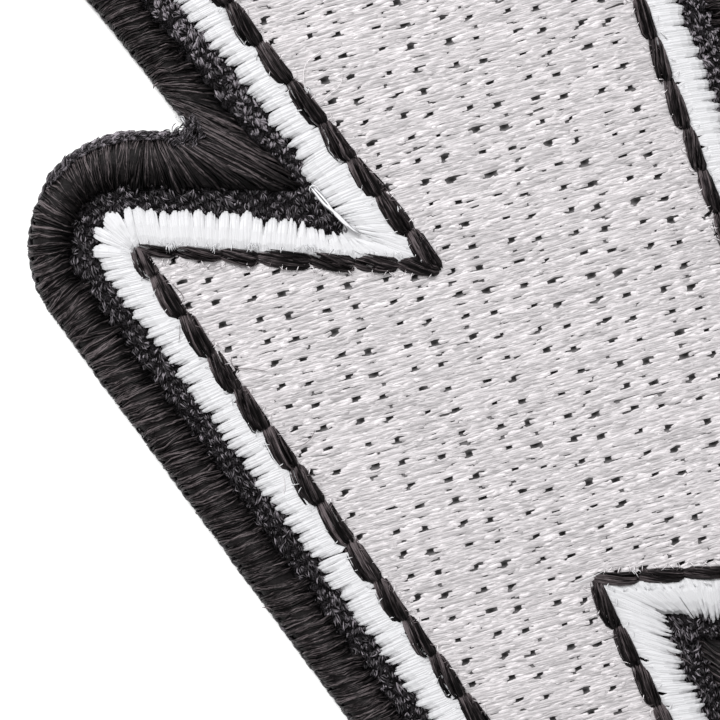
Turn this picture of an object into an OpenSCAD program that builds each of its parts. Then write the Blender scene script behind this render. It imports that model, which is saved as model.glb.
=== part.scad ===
// Embroidered lightning bolt patch, lying face up with its merrowed edge on the table.
// A plate of black twill carries a silver filled bolt, a black stitched outline round the
// silver, a white satin band outside that, and a thick overlocked edge that grips the twill.
// X runs across the patch, Y up the bolt, Z off the table. All sizes are in millimetres.

/* [Bolt] */
// Height of the head's top left corner above the left step
head_height = 44; // [36:0.5:56]
// Fall of the head's top edge towards the right, in degrees
top_fall = 3; // [0:0.5:8]
// Width of the silver across the waist, level with the left notch
waist_width = 20.7; // [18:0.1:24]
// Lean of the head's left edge from upright, in degrees
head_left_lean = 38.5; // [36:0.1:40]
// Lean of the head's right edge from upright, in degrees
head_right_lean = 20.6; // [19:0.1:23]
// Length of the left step, from its corner in to its notch
step_width = 20.6; // [18:0.1:22]
// Fall of the left step towards its notch, in degrees
step_fall = 2.8; // [0:0.1:5]
// Distance of the right notch to the right of the left step's corner
notch_across = 31.3; // [29:0.1:33]
// Depth of the right notch below the left step's corner
notch_down = 22.5; // [21:0.1:24]
// Rise of the right step away from its notch, in degrees
step_rise = 3.8; // [0:0.1:5]
// Lean of the tail's left edge from upright, in degrees
tail_left_lean = 36.3; // [36:0.1:37.5]
// Lean of the tail's right edge from upright, in degrees
tail_right_lean = 27.6; // [25.5:0.1:28]

/* [Thicknesses] */
// Thickness of the twill cloth
twill_thickness = 1; // [1:0.05:1.1]
// Height of the silver filling above the twill
fill_height = 0.55; // [0.4:0.05:0.7]
// Height of the white satin band's crown above the twill
satin_height = 0.75; // [0.6:0.05:0.9]
// Width of the black stitched outline
outline_width = 0.94; // [0.6:0.02:1.1]
// Height of the black stitched outline above the twill
outline_height = 0.9; // [0.6:0.05:1]
// Overall thickness of the overlocked edge
edge_thickness = 2.3; // [2.2:0.05:2.6]
// How much of the twill's thickness the overlocked edge takes up along its rim
edge_underlap = 0.35; // [0.3:0.05:0.4]
// Clearance that neighbouring pieces keep
clearance = 0.05; // [0.04:0.01:0.06]

/* [Hidden] */

TWILL_BLACK = [0.06, 0.06, 0.07];
SILVER = [0.78, 0.76, 0.77];
WHITE = [0.95, 0.95, 0.96];
THREAD_BLACK = [0.09, 0.08, 0.08];

// Height at which the embroidery starts
stitch_bottom = twill_thickness + clearance;

// The black outline lies in a channel between the silver and the white
channel_half = outline_width / 2 + clearance;

// Straight steps in each rounded corner
ARC_STEPS = 12;
// Smallest radius of a corner, and the extra that a notch has at the patch's own rim
TIGHT_RADIUS = 0.3;
RIM_NOTCH_EXTRA = 0.3;

// Plane geometry
function down_leaning(angle) = [sin(angle), -cos(angle)];
function turned_left(v) = [-v.y, v.x];
function cross_product(a, b) = a.x * b.y - a.y * b.x;
function meeting_point(p, along_p, q, along_q) =
    p + along_p * (cross_product(q - p, along_q) / cross_product(along_p, along_q));

// Corners of the silver bolt, clockwise, with the left step's corner at [0, 0]
left_step = [0, 0];
left_notch = step_width * [cos(step_fall), -sin(step_fall)];
head_left = left_notch
    - down_leaning(head_left_lean) * (head_height - left_notch.y) / cos(head_left_lean);
waist_right = left_notch + [waist_width, 0];
head_right = meeting_point(head_left, [cos(top_fall), -sin(top_fall)],
                           waist_right, down_leaning(head_right_lean));
right_notch = [notch_across, -notch_down];
right_step = meeting_point(waist_right, down_leaning(head_right_lean),
                           right_notch, [cos(step_rise), sin(step_rise)]);
tail_tip = meeting_point(left_step, down_leaning(tail_left_lean),
                         right_notch, down_leaning(tail_right_lean));

// One row for each edge of the bolt: the corner that it starts at and how squarely the
// satin goes round that corner, then the widths of the white satin, the bare twill and the
// overlocked edge that lie outside the silver along it
CORNER = 0;
SQUARED = 1;
SATIN = 2;
BARE = 3;
MERROW = 4;
EDGES = [
    [head_left, 0.15, 2.6, 1.8, 2.8],
    [head_right, 0.15, 2.6, 1.8, 2.8],
    [right_step, 0.15, 2.95, 1.5, 3.3],
    [right_notch, 0, 2.6, 1.75, 2.65],
    [tail_tip, 0, 2.5, 1.7, 3],
    [left_step, 0.15, 2.95, 1.5, 3.7],
    [left_notch, 0, 2.75, 1.8, 2.7],
];

// Bands are named by the line that bounds them: the silver's edge, the satin's outer edge,
// the overlocked edge's inner side, and the patch's rim. A value between two is between them.
SILVER_EDGE = 0;
SATIN_EDGE = 1;
MERROW_EDGE = 2;
RIM = 3;

// How much of a corner's squareness each line has
LINE_SQUARENESS = [[SILVER_EDGE, 1], [SATIN_EDGE, 1], [MERROW_EDGE, 0.5], [RIM, 0]];

function edge_after(i) = (i + 1) % len(EDGES);
function edge_before(i) = (i + len(EDGES) - 1) % len(EDGES);
function unit(v) = v / norm(v);
function along(i) = unit(EDGES[edge_after(i)][CORNER] - EDGES[i][CORNER]);
function outward(i) = turned_left(along(i));
function reach(i, line) =
    let (satin = EDGES[i][SATIN], bare = EDGES[i][BARE], merrow = EDGES[i][MERROW])
    lookup(line, [[SILVER_EDGE, 0], [SATIN_EDGE, satin], [MERROW_EDGE, satin + bare],
                  [RIM, satin + bare + merrow]]);

// A corner of the bolt's outline, moved out with its two edges
function moved_corner(i, line, grow) =
    meeting_point(
        EDGES[edge_before(i)][CORNER] + outward(edge_before(i)) * (reach(edge_before(i), line) + grow),
        along(edge_before(i)),
        EDGES[i][CORNER] + outward(i) * (reach(i, line) + grow),
        along(i));

// The turn at a corner, negative where the outline is convex
function turn(i) =
    atan2(cross_product(along(edge_before(i)), along(i)), along(edge_before(i)) * along(i));
function side(i) = turn(i) < 0 ? 1 : -1;
function corner_radius(i, line, grow) =
    side(i) > 0
        ? max(TIGHT_RADIUS, grow + (1 - EDGES[i][SQUARED] * lookup(line, LINE_SQUARENESS))
              * (reach(edge_before(i), line) + reach(i, line)) / 2)
        : TIGHT_RADIUS + RIM_NOTCH_EXTRA * max(0, line - MERROW_EDGE);
function rounded_corner(i, line, grow) =
    let (radius = corner_radius(i, line, grow),
         centre = moved_corner(i, line, grow - side(i) * radius),
         first = atan2(outward(edge_before(i)).y, outward(edge_before(i)).x))
    [for (step = [0:ARC_STEPS])
        let (angle = first + turn(i) * step / ARC_STEPS)
        centre + side(i) * radius * [cos(angle), sin(angle)]];

// The whole outline along one line of the border, moved out by a further distance
function outline_from_step(line, grow) =
    [for (i = [0:len(EDGES) - 1]) each rounded_corner(i, line, grow)];

// The patch's own middle, so that the origin lies under the middle of its box
rim_points = outline_from_step(RIM, 0);
function column(points, k) = [for (p = points) p[k]];
function middle(values) = (min(values) + max(values)) / 2;
patch_middle = [middle(column(rim_points, 0)), middle(column(rim_points, 1))];
function outline(line, grow = 0) = [for (p = outline_from_step(line, grow)) p - patch_middle];

// A closed band round the bolt. Each row of its section is [line, further distance, height].
module band(section) {
    rings = [for (row = section) [for (p = outline(row[0], row[1])) [p.x, p.y, row[2]]]];
    round_points = len(rings[0]);
    section_points = len(rings);
    polyhedron(
        points = [for (ring = rings) each ring],
        faces = [for (s = [0:section_points - 1], k = [0:round_points - 1])
            let (next_s = (s + 1) % section_points, next_k = (k + 1) % round_points)
            each [
                [s * round_points + k, s * round_points + next_k, next_s * round_points + next_k],
                [s * round_points + k, next_s * round_points + next_k, next_s * round_points + k],
            ]]);
}

// A flat plate with the bolt's outline
module plate(line, grow, bottom, height)
    translate([0, 0, bottom])
        linear_extrude(height)
            polygon(outline(line, grow));

// The cloth, whose thinner rim lies inside the overlocked edge's slot
TWILL_RIM = 2.5;
module twill_ground()
    color(TWILL_BLACK) {
        plate(MERROW_EDGE, 0, 0, twill_thickness);
        plate(TWILL_RIM, 0, edge_underlap, twill_thickness - edge_underlap);
    }

// The silver filling: a plate with a narrower crown, as the stitches dive at its edge
CROWN_INSET = 0.35;
CROWN_SHARE = 0.3;
module silver_fill() {
    crown = fill_height * CROWN_SHARE;
    color(SILVER) {
        plate(SILVER_EDGE, -channel_half, stitch_bottom, fill_height - crown);
        plate(SILVER_EDGE, -channel_half - CROWN_INSET, stitch_bottom, fill_height);
    }
}

// The white satin band: [share of the way out from the channel, share of the crown's height]
SATIN_SECTION = [[0, 0], [0, 0.7], [0.2, 0.93], [0.5, 1], [0.8, 0.8], [0.97, 0.35], [1, 0]];
module white_satin_border()
    color(WHITE)
        band([for (p = SATIN_SECTION)
            [p.x * SATIN_EDGE, channel_half * (1 - p.x), stitch_bottom + satin_height * p.y]]);

// The black outline: [share of its half width, share of its height]
OUTLINE_SECTION = [[-0.7, 0], [-1, 0.25], [-0.75, 0.8], [0, 1], [0.75, 0.8], [1, 0.25], [0.7, 0]];
module black_outline()
    color(THREAD_BLACK)
        band([for (p = OUTLINE_SECTION)
            [SILVER_EDGE, p.x * outline_width / 2, stitch_bottom + outline_height * p.y]]);

// The overlocked edge over the cloth's face, from its inner lip out to the rim:
// [line, share of the way from the cloth's face up to the crown]
EDGE_ROOF = [[2, 0.05], [2.06, 0.4], [2.22, 0.78], [2.48, 1], [2.72, 0.88], [2.9, 0.5]];
// Its side and underside: [line, height as a share of the overall thickness]
EDGE_FLOOR = [[2.98, 0.52], [3, 0.36], [2.95, 0.14], [2.82, 0], [2.1, 0]];
// Where the slot that grips the cloth ends, and where its lower lip starts
SLOT_END = 2.58;
LOWER_LIP = 2.08;
module merrowed_edge()
    color(THREAD_BLACK)
        band(concat(
            [[SLOT_END, 0, edge_underlap - clearance],
             [SLOT_END, 0, twill_thickness + clearance]],
            [for (p = EDGE_ROOF)
                [p.x, 0, stitch_bottom + (edge_thickness - stitch_bottom) * p.y]],
            [for (p = EDGE_FLOOR) [p.x, 0, edge_thickness * p.y]],
            [[LOWER_LIP, 0, edge_underlap - clearance]]));

twill_ground();
silver_fill();
white_satin_border();
black_outline();
merrowed_edge();
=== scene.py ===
"""Builds an embroidered lightning bolt patch stitch by stitch, on a pale table."""

import math

import bmesh
import bpy
import numpy as np
from bpy.props import FloatProperty, FloatVectorProperty, IntProperty, PointerProperty
from mathutils import Matrix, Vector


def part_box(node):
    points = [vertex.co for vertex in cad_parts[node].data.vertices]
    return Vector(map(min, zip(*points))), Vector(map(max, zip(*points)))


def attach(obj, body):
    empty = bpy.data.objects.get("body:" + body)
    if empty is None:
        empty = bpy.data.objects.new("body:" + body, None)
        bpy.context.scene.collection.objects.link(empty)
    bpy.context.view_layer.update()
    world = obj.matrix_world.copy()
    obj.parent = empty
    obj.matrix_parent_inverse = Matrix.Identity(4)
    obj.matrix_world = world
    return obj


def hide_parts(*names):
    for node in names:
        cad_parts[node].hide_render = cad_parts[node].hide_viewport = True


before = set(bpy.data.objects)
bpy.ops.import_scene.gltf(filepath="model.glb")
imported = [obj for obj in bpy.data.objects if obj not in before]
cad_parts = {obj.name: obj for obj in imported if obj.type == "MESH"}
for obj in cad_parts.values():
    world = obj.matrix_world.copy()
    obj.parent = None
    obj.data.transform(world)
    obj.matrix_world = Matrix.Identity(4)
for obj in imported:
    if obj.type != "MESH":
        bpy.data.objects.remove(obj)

bl_info = {
    "name": "Embroidered Bolt Patch",
    "version": (1, 0, 0),
    "blender": (4, 5, 0),
    "location": "View3D > Sidebar > Patch",
    "description": "Sews an embroidered lightning bolt patch stitch by stitch",
    "category": "Add Mesh",
}

MM = 0.001
UP = np.array([0.0, 0.0, 1.0])

# The bolt's own sizes, in millimetres and degrees, as its solids have them
HEAD_HEIGHT = 44
TOP_FALL = 3
WAIST_WIDTH = 20.7
HEAD_LEFT_LEAN = 38.5
HEAD_RIGHT_LEAN = 20.6
STEP_WIDTH = 20.6
STEP_FALL = 2.8
NOTCH_ACROSS = 31.3
NOTCH_DOWN = 22.5
STEP_RISE = 3.8
TAIL_LEFT_LEAN = 36.3
TAIL_RIGHT_LEAN = 27.6
TWILL_TOP = 1.0
ARC_STEPS = 12
TIGHT_RADIUS = 0.3
RIM_NOTCH_EXTRA = 0.3

# Lines of the border, as in the solids: the silver's edge, the white's outer edge, the
# overlocked edge's inner side and the patch's rim
SILVER_EDGE = 0
SATIN_EDGE = 1
MERROW_EDGE = 2
RIM = 3
LINES = [SILVER_EDGE, SATIN_EDGE, MERROW_EDGE, RIM]
# How much of a corner's squareness each line has
LINE_SQUARENESS = [1, 1, 0.5, 0]


def unit(v):
    return v / np.linalg.norm(v, axis=-1, keepdims=True)


def turned_left(v):
    return np.stack([-v[..., 1], v[..., 0]], axis=-1)


def down_leaning(degrees):
    return np.array([math.sin(math.radians(degrees)), -math.cos(math.radians(degrees))])


def rising(degrees):
    return np.array([math.cos(math.radians(degrees)), math.sin(math.radians(degrees))])


def cross_product(a, b):
    return a[0] * b[1] - a[1] * b[0]


def meeting_point(p, along_p, q, along_q):
    return p + along_p * cross_product(q - p, along_q) / cross_product(along_p, along_q)


def bolt_corners():
    """The silver bolt's corners, clockwise from the head's top left."""
    left_step = np.zeros(2)
    left_notch = STEP_WIDTH * rising(-STEP_FALL)
    lean = math.cos(math.radians(HEAD_LEFT_LEAN))
    head_left = left_notch - down_leaning(HEAD_LEFT_LEAN) * (HEAD_HEIGHT - left_notch[1]) / lean
    waist_right = left_notch + np.array([WAIST_WIDTH, 0])
    right_notch = np.array([NOTCH_ACROSS, -NOTCH_DOWN])
    right_side = down_leaning(HEAD_RIGHT_LEAN)
    head_right = meeting_point(head_left, rising(-TOP_FALL), waist_right, right_side)
    right_step = meeting_point(waist_right, right_side, right_notch, rising(STEP_RISE))
    tail_tip = meeting_point(
        left_step, down_leaning(TAIL_LEFT_LEAN), right_notch, down_leaning(TAIL_RIGHT_LEAN)
    )
    corners = [head_left, head_right, right_step, right_notch, tail_tip, left_step, left_notch]
    return np.array(corners)


CORNERS = bolt_corners()
ALONG = unit(np.roll(CORNERS, -1, axis=0) - CORNERS)
OUTWARD = turned_left(ALONG)
# A row for each edge from that corner on: how squarely the satin turns the corner, then the
# widths of the satin, the bare twill and the overlocked edge
EDGES = [
    (0.15, 2.6, 1.8, 2.8),
    (0.15, 2.6, 1.8, 2.8),
    (0.15, 2.95, 1.5, 3.3),
    (0, 2.6, 1.75, 2.65),
    (0, 2.5, 1.7, 3),
    (0.15, 2.95, 1.5, 3.7),
    (0, 2.75, 1.8, 2.7),
]
COUNT = len(EDGES)
# The corners at which the bolt's right and left steps start, and the edge above the left notch
OUTER_STEPS = (2, 5)
NOTCH_EDGE = 6
# An edge or stitch is nearly level where the across part of its direction is more than this
NEARLY_LEVEL = 0.9


def reach(i, line):
    """How far outside the silver a line of the border lies along an edge."""
    return np.interp(line, LINES, np.cumsum([0, *EDGES[i][1:]]))


def moved_corner(i, line, grow):
    """Where the two edges at a corner meet on a line of the border, moved out by grow."""
    before, here = (
        (CORNERS[k] + OUTWARD[k] * (reach(k, line) + grow), ALONG[k]) for k in (i - 1, i)
    )
    return meeting_point(*before, *here)


def rounded_corner(i, line, grow):
    """Points round one corner of a line of the border, which is moved out by grow."""
    before, here = ALONG[i - 1], ALONG[i]
    turn = math.atan2(cross_product(before, here), float(before @ here))
    side = 1 if turn < 0 else -1
    square = EDGES[i][0] * np.interp(line, LINES, LINE_SQUARENESS)
    radius = TIGHT_RADIUS + RIM_NOTCH_EXTRA * max(0, line - MERROW_EDGE)
    if side > 0:
        radius = grow + (1 - square) * (reach(i - 1, line) + reach(i, line)) / 2
        radius = max(TIGHT_RADIUS, radius)
    centre = moved_corner(i, line, grow - side * radius)
    first = math.atan2(OUTWARD[i - 1][1], OUTWARD[i - 1][0])
    angles = first + turn * np.linspace(0, 1, ARC_STEPS + 1)
    return centre + side * radius * np.stack([np.cos(angles), np.sin(angles)], axis=1)


def ring_from_step(line, grow):
    return np.array([rounded_corner(i, line, grow) for i in range(COUNT)])


RIM_POINTS = ring_from_step(RIM, 0).reshape(-1, 2)
MIDDLE = (RIM_POINTS.min(axis=0) + RIM_POINTS.max(axis=0)) / 2


def ring(line, grow=0.0):
    """A line of the border in metres: for each corner, the points round it."""
    return (ring_from_step(line, grow) - MIDDLE) * MM


# Where the stitching draws a line of the border in or out at the notches: [place from the
# left step's corner, line, shift, distance at which the shift has faded], in millimetres
NOTCH_PULLS = [
    ((14.2, 2.6), SATIN_EDGE, (1.7, -1.2), 2.6),
    ((12.6, 2.7), SATIN_EDGE, (0, -0.4), 5.0),
    ((12.5, 4.5), SATIN_EDGE, (-0.55, -0.4), 3.2),
    ((10.4, 3.9), MERROW_EDGE, (0.7, 0.3), 6.0),
    ((35.6, -25.2), SATIN_EDGE, (0.3, 0.65), 4.0),
]


def drawn_into_notches(points, line):
    """Points on or near a line of the border, drawn towards the tips of the notches."""
    shifts = 0
    for spot, own_line, shift, fading in NOTCH_PULLS:
        away = np.linalg.norm(points / MM + MIDDLE - spot, axis=-1, keepdims=True)
        share = np.clip(1 - away / fading, 0, 1) * max(0, 1 - abs(line - own_line))
        shifts = shifts + np.array(shift) * MM * share
    return points + shifts


def dense_ring(line, grow=0.0, steps=8):
    """A line of the border as one round of closely spaced points."""
    points = ring(line, grow).reshape(-1, 2)
    share = np.linspace(0, 1, steps, endpoint=False)[:, None]
    points = points[:, None] + (np.roll(points, -1, axis=0) - points)[:, None] * share
    return drawn_into_notches(points.reshape(-1, 2), line)


def from_outer_steps(points):
    """The distance in millimetres to the nearer of the corners where the outer steps start."""
    spots = points / MM + MIDDLE
    return np.minimum(*(np.linalg.norm(spots - CORNERS[k], axis=-1) for k in OUTER_STEPS))


def joined(rows):
    """The like parts of many rows, each joined end to end."""
    return [np.concatenate(part) for part in zip(*rows)]


def closed(points):
    return np.concatenate([points, points[:1]])


def distances(points):
    """How far along a line each of its points lies."""
    steps = np.linalg.norm(np.diff(points, axis=0), axis=1)
    return np.concatenate([[0], np.cumsum(steps)])


def placed(at, distance, points):
    """The places in plan at some distances along a line."""
    return np.stack([np.interp(at, distance, points[:, k]) for k in (0, 1)], axis=-1)


def between(start, end, share):
    """Points on straight lines: share of the way from start to end, for every strand."""
    return start[:, None] + (end - start)[:, None] * np.asarray(share)[..., None]


# How far the outer ends of the stitches lie forward of their inner ends along each edge
SATIN_LEANS = [0, 0.5, 0, 0.9, 0.5, 0, 0.6]
WRAP_LEANS = [0.85, 0.85, 0.3, 0.85, 0.85, 0.1, 0.85]
# For the satin of each edge: how much longer its loops are than in the solids, how deep the
# gaps between their tips are, both in millimetres, and how many leave a pinhole at the outline
SATIN_REACH = [0, 0, 0, 0, 0.2, 0, -0.12]
SATIN_TEETH = [0.3, 0.35, 0.25, 0.18, 0.45, 0.46, 0.5]
SATIN_PINCHES = [0.1, 0.4, 0.1, 0.4, 0.5, 0.05, 0.5]
# How far single strands of a loop end from each other on each edge, in millimetres
SATIN_FRAYS = [0.08, 0.08, 0.2, 0.1, 0.09, 0.03, 0.08]
# How much painted shade darkens the outer ends of the satin on each edge, where they dip to the
# twill
SATIN_OUTER_SHADE = [0, 0.15, 0.6, 0.3, 0.15, 0, 0.1]


class Band:
    """The ground between two lines of the border, for stitches that cross it.

    Each line comes with how far it is moved out, in millimetres. fan is how far from a corner
    the stitches start to turn, and easing above one makes them turn later."""

    def __init__(self, near_line, far_line, leans, fan=9 * MM, easing=1.6):
        rows = []
        near, far = ring(*near_line), ring(*far_line)
        for i, lean in enumerate(leans):
            after = (i + 1) % COUNT
            start, end = near[i][-1], near[after][0]
            length = np.linalg.norm(end - start)
            way = (end - start) / length
            steps = np.linspace(0, length, 150)[1:-1]
            first = (far[i][-1] - start) @ way
            last = (far[after][0] - start) @ way
            foot = steps + first * np.clip(1 - steps / fan, 0, 1) ** easing
            foot += (last - length) * np.clip(1 - (length - steps) / fan, 0, 1) ** easing
            foot += lean * MM * np.clip(np.minimum(steps, length - steps) / (4 * MM), 0, 1)
            share = np.clip((foot - first) / (last - first), 0, 1)[:, None]
            inner = np.concatenate([near[i], start + way * steps[:, None]])
            outer = [far[i], far[i][-1] + (far[after][0] - far[i][-1]) * share]
            rows.append((inner, np.concatenate(outer), np.full(len(inner), i)))
        inner, outer, edges = joined(rows)
        self.edges = np.append(edges, 0)
        self.inner = closed(drawn_into_notches(inner, near_line[0]))
        self.outer = closed(drawn_into_notches(outer, far_line[0]))
        self.distance = distances((self.inner + self.outer) / 2)
        self.length = self.distance[-1]

    def stations(self, pitch):
        """Distances round the band at an even pitch."""
        count = round(self.length / pitch)
        return (np.arange(count) + 0.5) * self.length / count

    def on_edge(self, distance, values):
        """The value of the edge that each distance lies on."""
        spot = np.searchsorted(self.distance, np.asarray(distance) % self.length)
        return np.array(values)[self.edges[spot]]

    def ends(self, distance):
        """The near and far points of stitches at these distances."""
        at = np.asarray(distance) % self.length
        return [placed(at, self.distance, side) for side in (self.inner, self.outer)]

    def spacing(self, at, pitch, share):
        """How far apart neighbouring stitches lie, at each step of each."""
        near, far = (
            np.clip(np.linalg.norm(b - a, axis=1), 0.45 * pitch, 2 * pitch)
            for a, b in zip(self.ends(at - pitch / 2), self.ends(at + pitch / 2))
        )
        return near[:, None] + (far - near)[:, None] * share


# The sides of every strand
SIDES = 3


def strand_prototype(rings):
    """A straight closed strand: its corners' ring and angle, its faces, and their map."""
    bm = bmesh.new()
    bmesh.ops.create_cone(
        bm, cap_ends=True, segments=SIDES, radius1=1, radius2=1, depth=rings - 1
    )
    long_edges = [e for e in bm.edges if abs(e.verts[0].co.z - e.verts[1].co.z) > 0.5]
    bmesh.ops.subdivide_edges(bm, edges=long_edges, cuts=rings - 2, use_grid_fill=True)
    bmesh.ops.recalc_face_normals(bm, faces=bm.faces)
    bm.verts.index_update()
    place = np.array([v.co for v in bm.verts])
    level = np.rint(place[:, 2] + (rings - 1) / 2).astype(int)
    angle = np.arctan2(place[:, 1], place[:, 0])
    faces, maps = [], []
    for face in bm.faces:
        corners = [v.index for v in face.verts]
        round_it = (angle[corners] / math.tau + 0.25) % 1.0
        round_it = np.where(round_it < 1e-4, 0.0, round_it)
        if round_it.max() - round_it.min() > 0.5:
            round_it = np.where(round_it < 0.5, round_it + 1, round_it)
        faces.append(corners)
        maps.append(round_it)
    bm.free()
    return level, angle, faces, np.concatenate(maps)


def flat_across(centre):
    """A level direction square to each step of the strands."""
    way = np.gradient(centre, axis=1)
    way[..., 2] = 0
    return unit(np.cross(UP, unit(way + 1e-12)))


def put(items, key, values, kind=np.float32):
    """Sets one value of each of a mesh's items."""
    items.foreach_set(key, np.ascontiguousarray(values, kind).ravel())


def sew(name, node, material, plan, height, half_width, half_height, tone, glint=0.0,
        across=None, smooth=True):
    """Joins strands into one piece, with a tone for each and, for each of its rings, painted light
    and shade that brightens or darkens it, mixed with random tone.

    plan has the places of each strand's rings in metres, height is theirs in millimetres."""
    count, rings = plan.shape[:2]
    height = np.broadcast_to(height, (count, rings))
    centre = np.concatenate([plan, height[..., None] * MM], axis=-1)
    level, angle, faces, maps = strand_prototype(rings)
    across = flat_across(centre) if across is None else np.broadcast_to(across, centre.shape)
    above = unit(np.cross(unit(np.gradient(centre, axis=1)), across))
    wide = np.broadcast_to(half_width, (count, rings))[:, level, None]
    high = np.broadcast_to(half_height, (count, rings))[:, level, None]
    points = centre[:, level] + across[:, level] * wide * np.cos(angle)[:, None]
    points += above[:, level] * high * np.sin(angle)[:, None]
    run = np.linalg.norm(np.diff(centre, axis=1), axis=2)
    run = np.concatenate([np.zeros((count, 1)), np.cumsum(run, axis=1)], axis=1) / MM

    corners = np.concatenate(faces)
    totals = np.array([len(f) for f in faces])
    starts = np.cumsum(totals) - totals
    copies = np.arange(count)[:, None]
    mesh = bpy.data.meshes.new(name)
    mesh.vertices.add(count * len(level))
    mesh.loops.add(count * len(corners))
    mesh.polygons.add(count * len(faces))
    put(mesh.vertices, "co", points)
    put(mesh.loops, "vertex_index", corners + len(level) * copies, np.int32)
    put(mesh.polygons, "loop_start", starts + len(corners) * copies, np.int32)
    put(mesh.polygons, "loop_total", np.tile(totals, count), np.int32)
    put(mesh.polygons, "use_smooth", np.full(count * len(faces), smooth), bool)
    mesh.update(calc_edges=True)
    lengthwise = run[:, level[corners]]
    spread = np.stack([np.broadcast_to(maps, lengthwise.shape), lengthwise], axis=-1)
    put(mesh.uv_layers.new(name="thread").data, "uv", spread)
    for key, values in (("tone", tone[:, None]), ("glint", glint)):
        values = np.broadcast_to(values, (count, rings))[:, level]
        put(mesh.attributes.new(key, "FLOAT", "POINT").data, "value", values)
    mesh.validate()
    finish_piece(place(name, mesh), material, node)


def place(name, mesh):
    """Puts a mesh in the scene under its own name."""
    piece = bpy.data.objects.new(name, mesh)
    bpy.context.scene.collection.objects.link(piece)
    if piece.name != name:
        raise RuntimeError(f"the name {name} is already taken")
    return piece


def finish_piece(piece, material, node):
    """Gives a piece its finish, and stands it for a solid of the patch."""
    piece.data.materials.append(material)
    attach(piece, "root")
    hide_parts(node)


def copy_solid(name, node, shrink=0.0, flatten=1.0, smooth=True):
    """A merged copy of a solid's mesh, drawn in by shrink and flattened on to the twill."""
    bm = bmesh.new()
    bm.from_mesh(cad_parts[node].data)
    bmesh.ops.remove_doubles(bm, verts=bm.verts, dist=1e-6)
    bm.normal_update()
    base = TWILL_TOP * MM
    for v in bm.verts:
        v.co -= v.normal * shrink
        v.co.z = base + (v.co.z - base) * flatten
    mesh = bpy.data.meshes.new(name)
    bm.to_mesh(mesh)
    bm.free()
    put(mesh.polygons, "use_smooth", np.full(len(mesh.polygons), smooth), bool)
    return place(name, mesh)


def draw_in(piece, line, share):
    """Brings a piece's mesh towards a line of the border, to a share of its distance."""
    vertices = piece.data.vertices
    points = np.empty((len(vertices), 3))
    vertices.foreach_get("co", points.ravel())
    for point in points:
        nearest = line[np.argmin(((line - point[:2]) ** 2).sum(axis=1))]
        point[:2] = nearest + (point[:2] - nearest) * share
    put(vertices, "co", points)
    piece.data.update()


class Wire:
    """A number in a shader, on which ordinary arithmetic adds Math nodes."""

    def __init__(self, paint, socket):
        self.paint = paint
        self.socket = socket

    def math(self, operation, *others):
        return self.paint.math(operation, self, *others)

    def __add__(self, other):
        return self.math("ADD", other)

    def __mul__(self, other):
        return self.math("MULTIPLY", other)

    def __sub__(self, other):
        return self.math("SUBTRACT", other)

    def __rsub__(self, other):
        return self.paint.math("SUBTRACT", other, self)

    def __truediv__(self, other):
        return self.math("DIVIDE", other)

    def __rtruediv__(self, other):
        return self.paint.math("DIVIDE", other, self)

    __radd__ = __add__
    __rmul__ = __mul__


class Paint:
    """A new material and its nodes."""

    def __init__(self, name):
        self.material = bpy.data.materials.new(name)
        self.material.use_nodes = True
        self.tree = self.material.node_tree

    def node(self, kind, values=(), output=0, **settings):
        """Adds a node. settings are its own choices, set first; values go to its sockets."""
        made = self.tree.nodes.new("ShaderNode" + kind)
        for key, value in settings.items():
            setattr(made, key, value)
        for key, value in dict(values).items():
            self.feed(made.inputs[key], value)
        return Wire(self, made.outputs[output])

    def feed(self, socket, value):
        if isinstance(value, Wire):
            self.tree.links.new(value.socket, socket)
        else:
            socket.default_value = value

    def math(self, operation, *values):
        return self.node("Math", dict(enumerate(values)), operation=operation)

    def spot(self):
        """The place on the piece."""
        return self.node("TexCoord", output=3)

    def parts(self, vector):
        """The first two parts of a vector."""
        split = self.node("SeparateXYZ", {0: vector})
        return split, Wire(self, split.socket.node.outputs[1])

    def vector(self, *parts):
        return self.node("CombineXYZ", dict(enumerate(parts)))

    def noise(self, spot, scale, detail=2.0, roughness=0.5):
        values = {"Vector": spot, "Scale": scale, "Detail": detail, "Roughness": roughness}
        return self.node("TexNoise", values)

    def mix(self, factor, colour, low, high):
        """A colour between two strengths of one."""
        values = {0: factor, 6: shaded(colour, low), 7: shaded(colour, high)}
        return self.node("Mix", values, output=2, data_type="RGBA", clamp_factor=True)

    def ramp(self, value, low, high):
        """The share of the way that a value is from low to high, from 0 to 1."""
        return self.node("MapRange", {"Value": value, "From Min": low, "From Max": high})

    def finished(self, colour, roughness, shine=0.5, height=None, relief=0.05 * MM):
        """The material, once its surface has these."""
        values = {"Base Color": colour, "Roughness": roughness, "Specular IOR Level": shine}
        if height:
            values["Normal"] = self.node("Bump", {"Distance": relief, "Height": height})
        for key, value in values.items():
            self.feed(self.tree.nodes["Principled BSDF"].inputs[key], value)
        return self.material


def shaded(colour, factor):
    return tuple(min(1.0, c * factor) for c in colour[:3]) + (1.0,)


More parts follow.
